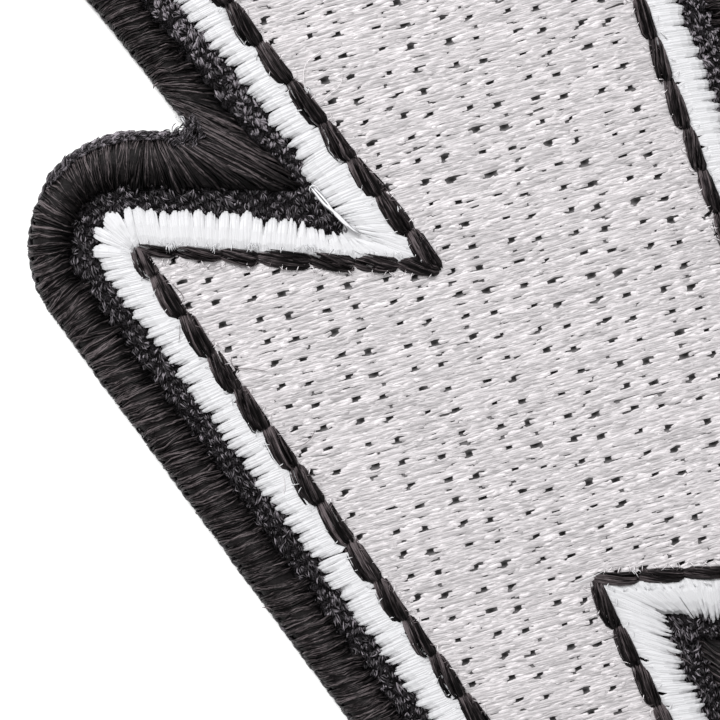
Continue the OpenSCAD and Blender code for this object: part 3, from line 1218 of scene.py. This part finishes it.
def wrap_sheen(plan, crown, rng):
    """Painted sheen and shade along each wrap, with random tone: a painted highlight over its crown
    and painted shade at its inner end, which differ most on the broad outer steps.
    """
    lobe = np.clip((13.5 - from_outer_steps(plan[:, WRAP_CROWN])) / 4, 0, 1)[:, None]
    shine, lobe_light_and_shade = WRAP_STEPS.T[4:]
    glint = shine + lobe * lobe_light_and_shade
    # Painted light: wraps towards the tail are brighter, and each bundle's crown takes a painted
    # highlight; the random parts are tone
    low = np.clip((4 - MIDDLE[1] - plan[:, WRAP_CROWN, 1] / MM) / 8, 0, 1)[:, None]
    glint = glint + crown * (0.12 + 0.3 * lobe) + 0.25 * low
    glint = glint + rng.normal(0, 1, (len(plan), 1)) * (0.22 + 0.2 * lobe) + 0.1
    return glint + rng.normal(0, 0.42, plan.shape[:2])


def wrap_strands(band, at, rng):
    """The rings of every strand of the wraps."""
    pitch = sizes().wrap_pitch
    many = len(at)
    one = (many, 1)
    at = at + rng.normal(0, 0.08 * MM, many)
    near, far = band.ends(at)
    line, rise, spread, taper = WRAP_STEPS.T[:4]
    share = line - MERROW_EDGE
    shares = np.tile(share, one)
    middle = between(near, far, shares)
    # Where along a wrap its inner end and its rim vary in reach
    inner = np.clip(1 - share * 3, 0, 1)[:, None]
    outer = np.clip(share * 5 - 3.8, 0, 1)[:, None]
    turn = rng.normal(0, 0.14 * MM, many)
    reach_in = rng.normal(0, 0.16 * MM, one)
    lift = rng.normal(0, 0.05, one)
    rim = rng.normal(0, 0.045, one)
    sway = rng.normal(0, 0.05 * MM, (many, len(share), 1))
    gap = band.spacing(at, pitch, np.minimum(share, 1)) / pitch
    strands = []
    for offset in WRAP_STRANDS:
        # The strands gather in bundles, whose crowns stand a little higher
        shift = at + offset * pitch + rng.normal(0, 0.03 * MM, many)
        bundle = shift * math.tau / (0.65 * MM) + 2.0 * np.sin(shift / (3.1 * MM))
        bundle = bundle + 1.3 * np.sin(shift / (1.7 * MM))
        shift = shift - np.sin(bundle) * 0.045 * MM
        crown = np.cos(bundle)[:, None]
        own_near, own_far = band.ends(shift + turn)[0], band.ends(shift - turn)[1]
        inward = unit(own_near - own_far)
        plan = middle + (between(own_near, own_far, shares) - middle) * spread[:, None]
        own_reach = reach_in + rng.normal(0, 0.1 * MM, one)
        plan = plan + (inward * own_reach)[:, None] * inner
        plan = plan - (inward * (rim + 0.04 * crown) * MM)[:, None] * outer
        wave = sway + rng.normal(0, 0.035 * MM, sway.shape)
        plan = plan + turned_left(inward)[:, None] * wave
        own_lift = lift + rng.normal(0, 0.03, one) + 0.05 * (crown - 1)
        height = rise + own_lift * (rise > 0.5)
        strands.append((plan, height, unit(own_far - own_near), crown, gap))
    plan, height, way, crown, gap = joined(strands)
    wide = 0.075 * taper * MM * np.clip(gap, 0.7, 1.6)
    wide = wide * rng.normal(1, 0.15, (len(plan), 1))
    return plan, height, way, wide, rng.random(len(plan)), crown


def plait_chain(node):
    """A three-strand plait along the rim, drawn up on to it at the outer steps."""
    rng = luck(8)
    path = closed(ring(RIM).reshape(-1, 2))
    distance = distances(path)
    count = round(distance[-1] / sizes().chain_pitch)
    pitch = distance[-1] / count
    run = (np.arange(count)[:, None] + np.linspace(0, 1, CHAIN_RINGS)) * pitch
    wrapped = run % distance[-1]
    spots = placed(wrapped, distance, path)
    ways = unit(np.roll(path[:-1], -1, axis=0) - np.roll(path[:-1], 1, axis=0))
    normals = unit(placed(wrapped, distance, closed(turned_left(ways))))
    lift = drawn_up(spots)
    strands = []
    for k in range(3):
        angle = (run / pitch + k / 3) * math.tau
        sway = (0.17 + 0.06 * lift) * np.sin(angle) - 0.14
        height = 0.6 + lift + 0.17 * np.sin(2 * angle) + 0.12 * np.cos(angle)
        strands.append((spots + normals * (sway * MM)[..., None], height, lift))
    plan, height, lift_each = joined(strands)
    wide = (0.15 + 0.07 * lift_each + 0.03 * rng.normal(size=(len(plan), 1))) * MM
    tone = rng.random(len(plan))
    # Painted light where the chain is drawn up on to the edge, painted shade where it runs low
    # under the wraps, with random tone
    glint = -0.6 + 1.6 * lift_each + rng.normal(0, 0.35, plan.shape[:2])
    material = thread_paint(
        "black_chain_filament", colours().twill, depth=0.03, levels=(0.4, 0.75), sparse=1.5,
        shine=0.15, streaks=2.5, relief=0.03, twist=2.0, grain=1.5,
    )
    sew("merrowed_edge_chain", node, material, plan, height, wide, 0.14 * MM, tone, glint)
    middle = CHAIN_RINGS // 2
    keep = lift[:, middle] > 0.25
    extra = len(NOTCH_LUMPS)
    spots = np.concatenate([spots[keep, middle], (np.array(NOTCH_LUMPS) - MIDDLE) * MM])
    normals = np.concatenate([normals[keep, middle], np.tile([-0.6, 0.8], (extra, 1))])
    plan, height = knot_strands(spots, normals, np.append(lift[keep, middle], np.ones(extra)), rng)
    tone = rng.random(len(plan))
    glint = rng.normal(0.2, 0.8, plan.shape[:2])
    wide = np.array([0.5, 1, 1, 1, 0.5]) * 0.045 * MM
    sew("merrowed_edge_knots", node, material, plan, height, wide, 0.05 * MM, tone, glint)


def knot_strands(spots, normals, lift, rng):
    """Short fibres that curl over the chain in lumps where it is drawn up on the edge."""
    ways = -turned_left(normals)
    share = np.array([-1, -0.55, 0, 0.55, 1])
    one = (len(spots), 1)
    strands = []
    for k in range(KNOT_FIBRES):
        lump = (k % 3 - 1) * 0.8 + rng.normal(0, 0.13, one)
        side = rng.normal(-0.18, 0.13, one)
        turn = rng.normal(0.5, 0.5, one)
        length = rng.uniform(0.22, 0.42, one)
        bow = rng.normal(0, 0.1, one) * (1 - share**2)
        on = lump + length * share * np.cos(turn) - bow * np.sin(turn)
        off = side + length * share * np.sin(turn) * 0.8 + bow * np.cos(turn)
        step = ways[:, None] * on[..., None] + normals[:, None] * off[..., None]
        high = 0.98 + 0.8 * lift[:, None] + 0.22 * (1 - share**2)
        strands.append((spots[:, None] + step * MM, high - 0.8 * abs(off + 0.15) ** 1.5))
    return joined(strands)


class PATCH_OT_overlock(bpy.types.Operator):
    """Winds the thick black edge over the rim and plaits the chain round it"""

    bl_idname = "patch.wind_edge"
    bl_label = "Overlocked edge"

    def execute(self, context):
        node = "merrowed_edge"
        black = colours().black
        core = copy_solid("merrowed_edge_core", node, shrink=0.25 * MM)
        # Painted shade: the core is far darker than the black thread, so the gaps between the wraps
        # read as shade
        paint = packed_paint(
            "black_edge_core", black, dark=0.01, bright=0.1, scale=5000.0, shine=0.1
        )
        finish_piece(core, paint, node)
        material = thread_paint(
            "black_edge_filament", black, depth=0.01, levels=(0.38, 0.73), sparse=1.7, shine=0.12,
            streaks=3.1, relief=0.03, twist=0.5, grain=2.1,
        )
        band = Band((MERROW_EDGE, 0), (RIM, 0), WRAP_LEANS, fan=11 * MM, easing=1.05)
        at = band.stations(sizes().wrap_pitch)
        half = len(at) // 2
        for name, part, seed in (
            ("merrowed_edge_right", at[:half], 5),
            ("merrowed_edge_left", at[half:], 6),
        ):
            plan, height, way, wide, tone, crown = wrap_strands(band, part, luck(seed))
            across = np.pad(turned_left(way), ((0, 0), (0, 1)))[:, None]
            glint = wrap_sheen(plan, crown, luck(seed + 20))
            sew(name, node, material, plan, height, wide, 0.07 * MM, tone, glint, across)
        plait_chain(node)
        return {"FINISHED"}


def inside(points, outline):
    """Whether each point in plan lies inside a closed outline."""
    x, y = points[:, 0, None], points[:, 1, None]
    x0, y0 = outline[:, 0], outline[:, 1]
    x1, y1 = np.roll(x0, -1), np.roll(y0, -1)
    crossed = (y0 > y) != (y1 > y)
    rise = np.where(y1 == y0, 1.0, y1 - y0)
    return (crossed & (x < x0 + (y - y0) / rise * (x1 - x0))).sum(axis=1) % 2 == 1


# Where the fibres of a raised yarn lie across it, in millimetres
FLOAT_FIBRES = (-0.25, -0.15, -0.05, 0.05, 0.15, 0.25)
# Steps along each fibre: [place along the yarn, spread, height in millimetres, width, painted
# shade]
FLOAT_STEPS = np.array([
    [-1, 0.7, -0.12, 0.7, -0.4],
    [0, 1.1, 0.22, 1, 0],
    [1, 0.7, -0.1, 0.7, -0.3],
])


def raise_floats(pitch, low, high):
    """Small bundles of fibre, in diagonal steps, on the strip that stays bare."""
    rng = luck(9)
    tall = pitch * 1.1
    columns = np.arange(math.floor(low.x / pitch), math.ceil(high.x / pitch))
    rows = np.arange(math.floor(low.y / tall) - 1, math.ceil(high.y / tall) + 1)
    column, row = (g.ravel() for g in np.meshgrid(columns, rows))
    spots = np.stack([column * pitch, (row - (column * 0.56) % 1) * tall], axis=1)
    spots = spots[inside(spots, dense_ring(MERROW_EDGE, 0.15, 1))]
    spots = spots[~inside(spots, dense_ring(SATIN_EDGE, -0.3))]
    count = len(spots)
    spots += rng.normal(0, 0.07 * MM, spots.shape)
    tilt = math.radians(108) + rng.normal(0, 0.35, count)
    length = tall * 0.52 * rng.normal(1, 0.2, count)
    lift = rng.normal(0, 0.07, (count, 1))
    share, spread, rise, taper, shine = FLOAT_STEPS.T
    strands = []
    for offset in FLOAT_FIBRES:
        own = tilt + rng.normal(0, 0.36, count)
        way = np.stack([np.cos(own), np.sin(own)], axis=1)
        reach = share * (length * rng.normal(1, 0.15, count))[:, None]
        reach = reach + rng.normal(0, 0.06 * MM, (count, 1))
        swing = offset * MM * spread + rng.normal(0, 0.025 * MM, (count, 3))
        plan = spots[:, None] + way[:, None] * reach[..., None]
        plan = plan + turned_left(way)[:, None] * swing[..., None]
        height = TWILL_TOP + (rise - 2.0 * offset**2) + lift + rng.normal(0, 0.03, (count, 1))
        strands.append((plan, height))
    plan, height = joined(strands)
    head = np.clip((plan[..., 1] / MM + MIDDLE[1] - 5) / 2, 0, 1)
    wide = 0.058 * taper * MM * rng.normal(1, 0.25, (len(plan), 1))
    wide = wide * (1 + 0.5 * head)
    tone = rng.random(len(plan))
    # Random tone, painted shade at the fibres' ends, sparse painted highlights, and painted light
    # on the strip beside the head
    glint = rng.normal(0.35, 0.6, head.shape) + shine
    glint = glint + 3.0 * (rng.random(head.shape) < 0.06) + 0.7 * head
    material = thread_paint(
        "black_twill_yarn", colours().twill, depth=0.02, levels=(0.37, 0.72), sparse=1.6,
        shine=0.3, streaks=2.0, relief=0.02, specks=0.3, twist=2.0, grain=2.5,
    )
    sew("twill_floats", "twill_ground", material, plan, height, wide, 0.05 * MM, tone, glint)


class PATCH_OT_cloth(bpy.types.Operator):
    """Lays the black twill and raises the yarns that show between satin and edge"""

    bl_idname = "patch.lay_cloth"
    bl_label = "Black twill"

    def execute(self, context):
        pitch = sizes().yarn_pitch
        cloth = copy_solid("twill_cloth", "twill_ground", smooth=False)
        material = twill_paint("black_twill_weave", colours().twill, pitch)
        finish_piece(cloth, material, "twill_ground")
        low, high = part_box("twill_ground")
        raise_floats(pitch, low, high)
        return {"FINISHED"}


# Each light: its name, its place and its width in metres, and its power in watts
LIGHTS = [
    ("window_light", (-0.28, 0.45, 0.55), 0.4, 6.7),
    ("fill_light", (0.3, -0.1, 0.8), 1.0, 2.1),
    ("top_light", (0.0, 0.0, 0.9), 0.9, 2.0),
]
# The picture's width and the place of the left step's corner in it, in pixels, and its scale
PICTURE_WIDTH = 720
CORNER_IN_PICTURE = np.array([136, 252])
PIXELS_PER_MM = 14.6


def set_table():
    bm = bmesh.new()
    bmesh.ops.create_grid(bm, x_segments=1, y_segments=1, size=3.0)
    mesh = bpy.data.meshes.new("table")
    bm.to_mesh(mesh)
    bm.free()
    paint = Paint("pale_table")
    body = paint.mix(paint.noise(paint.spot(), 60.0), colours().table, 0.99, 1.01)
    mesh.materials.append(paint.finished(body, roughness=0.8))
    place("table", mesh)


def hang_light(name, spot, size, power):
    data = bpy.data.lights.new(name, "AREA")
    data.shape = "DISK"
    data.size = size
    data.energy = power
    lamp = bpy.data.objects.new(name, data)
    moved = Matrix.Translation(spot)
    aim = (-moved.translation).to_track_quat("-Z", "Y").to_matrix().to_4x4()
    lamp.matrix_world = moved @ aim
    bpy.context.scene.collection.objects.link(lamp)


def set_camera(context):
    """Straight above the left notch, as the photograph is."""
    data = bpy.data.cameras.new("camera")
    data.lens = 120.0
    data.sensor_width = 36.0
    data.clip_start = 0.01
    view = bpy.data.objects.new("camera", data)
    across = PICTURE_WIDTH / PIXELS_PER_MM * MM
    height = across / 2 / (data.sensor_width / 2 / data.lens) + 1.5 * MM
    spot = (PICTURE_WIDTH / 2 - CORNER_IN_PICTURE) * (1, -1) / PIXELS_PER_MM - MIDDLE
    view.location = (*(spot * MM), height)
    context.scene.collection.objects.link(view)
    context.scene.camera = view


class PATCH_OT_stage(bpy.types.Operator):
    """Sets the table, the lights and the camera"""

    bl_idname = "patch.set_stage"
    bl_label = "Table, lights and camera"

    def execute(self, context):
        set_table()
        for row in LIGHTS:
            hang_light(*row)
        world = bpy.data.worlds.new("studio")
        world.use_nodes = True
        background = world.node_tree.nodes["Background"]
        background.inputs["Color"].default_value = (1, 1, 1, 1)
        background.inputs["Strength"].default_value = 0.37
        context.scene.world = world
        context.scene.view_settings.view_transform = "Standard"
        set_camera(context)
        return {"FINISHED"}


OPERATORS = (
    PATCH_OT_cloth, PATCH_OT_fill, PATCH_OT_satin, PATCH_OT_outline, PATCH_OT_loose,
    PATCH_OT_overlock, PATCH_OT_stage,
)


class PATCH_PT_panel(bpy.types.Panel):
    """The patch's sizes, colours and steps"""

    bl_idname = "PATCH_PT_panel"
    bl_label = "Bolt patch"
    bl_space_type = "VIEW_3D"
    bl_region_type = "UI"
    bl_category = "Patch"

    def draw(self, context):
        for group in (sizes(), colours()):
            for key in group.__annotations__:
                self.layout.prop(group, key)
        for operator in OPERATORS:
            self.layout.operator(operator.bl_idname)


CLASSES = (PatchSizes, PatchColours, *OPERATORS, PATCH_PT_panel)


def register():
    for each in CLASSES:
        bpy.utils.register_class(each)
    bpy.types.Scene.patch_sizes = PointerProperty(type=PatchSizes)
    bpy.types.Scene.patch_colours = PointerProperty(type=PatchColours)


def unregister():
    del bpy.types.Scene.patch_colours
    del bpy.types.Scene.patch_sizes
    for each in reversed(CLASSES):
        bpy.utils.unregister_class(each)


def main():
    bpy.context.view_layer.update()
    register()
    bpy.ops.patch.lay_cloth()
    bpy.ops.patch.sew_fill()
    bpy.ops.patch.sew_satin()
    bpy.ops.patch.sew_outline()
    bpy.ops.patch.lay_loose_fibres()
    bpy.ops.patch.wind_edge()
    bpy.ops.patch.set_stage()


if __name__ == "__main__":
    main()
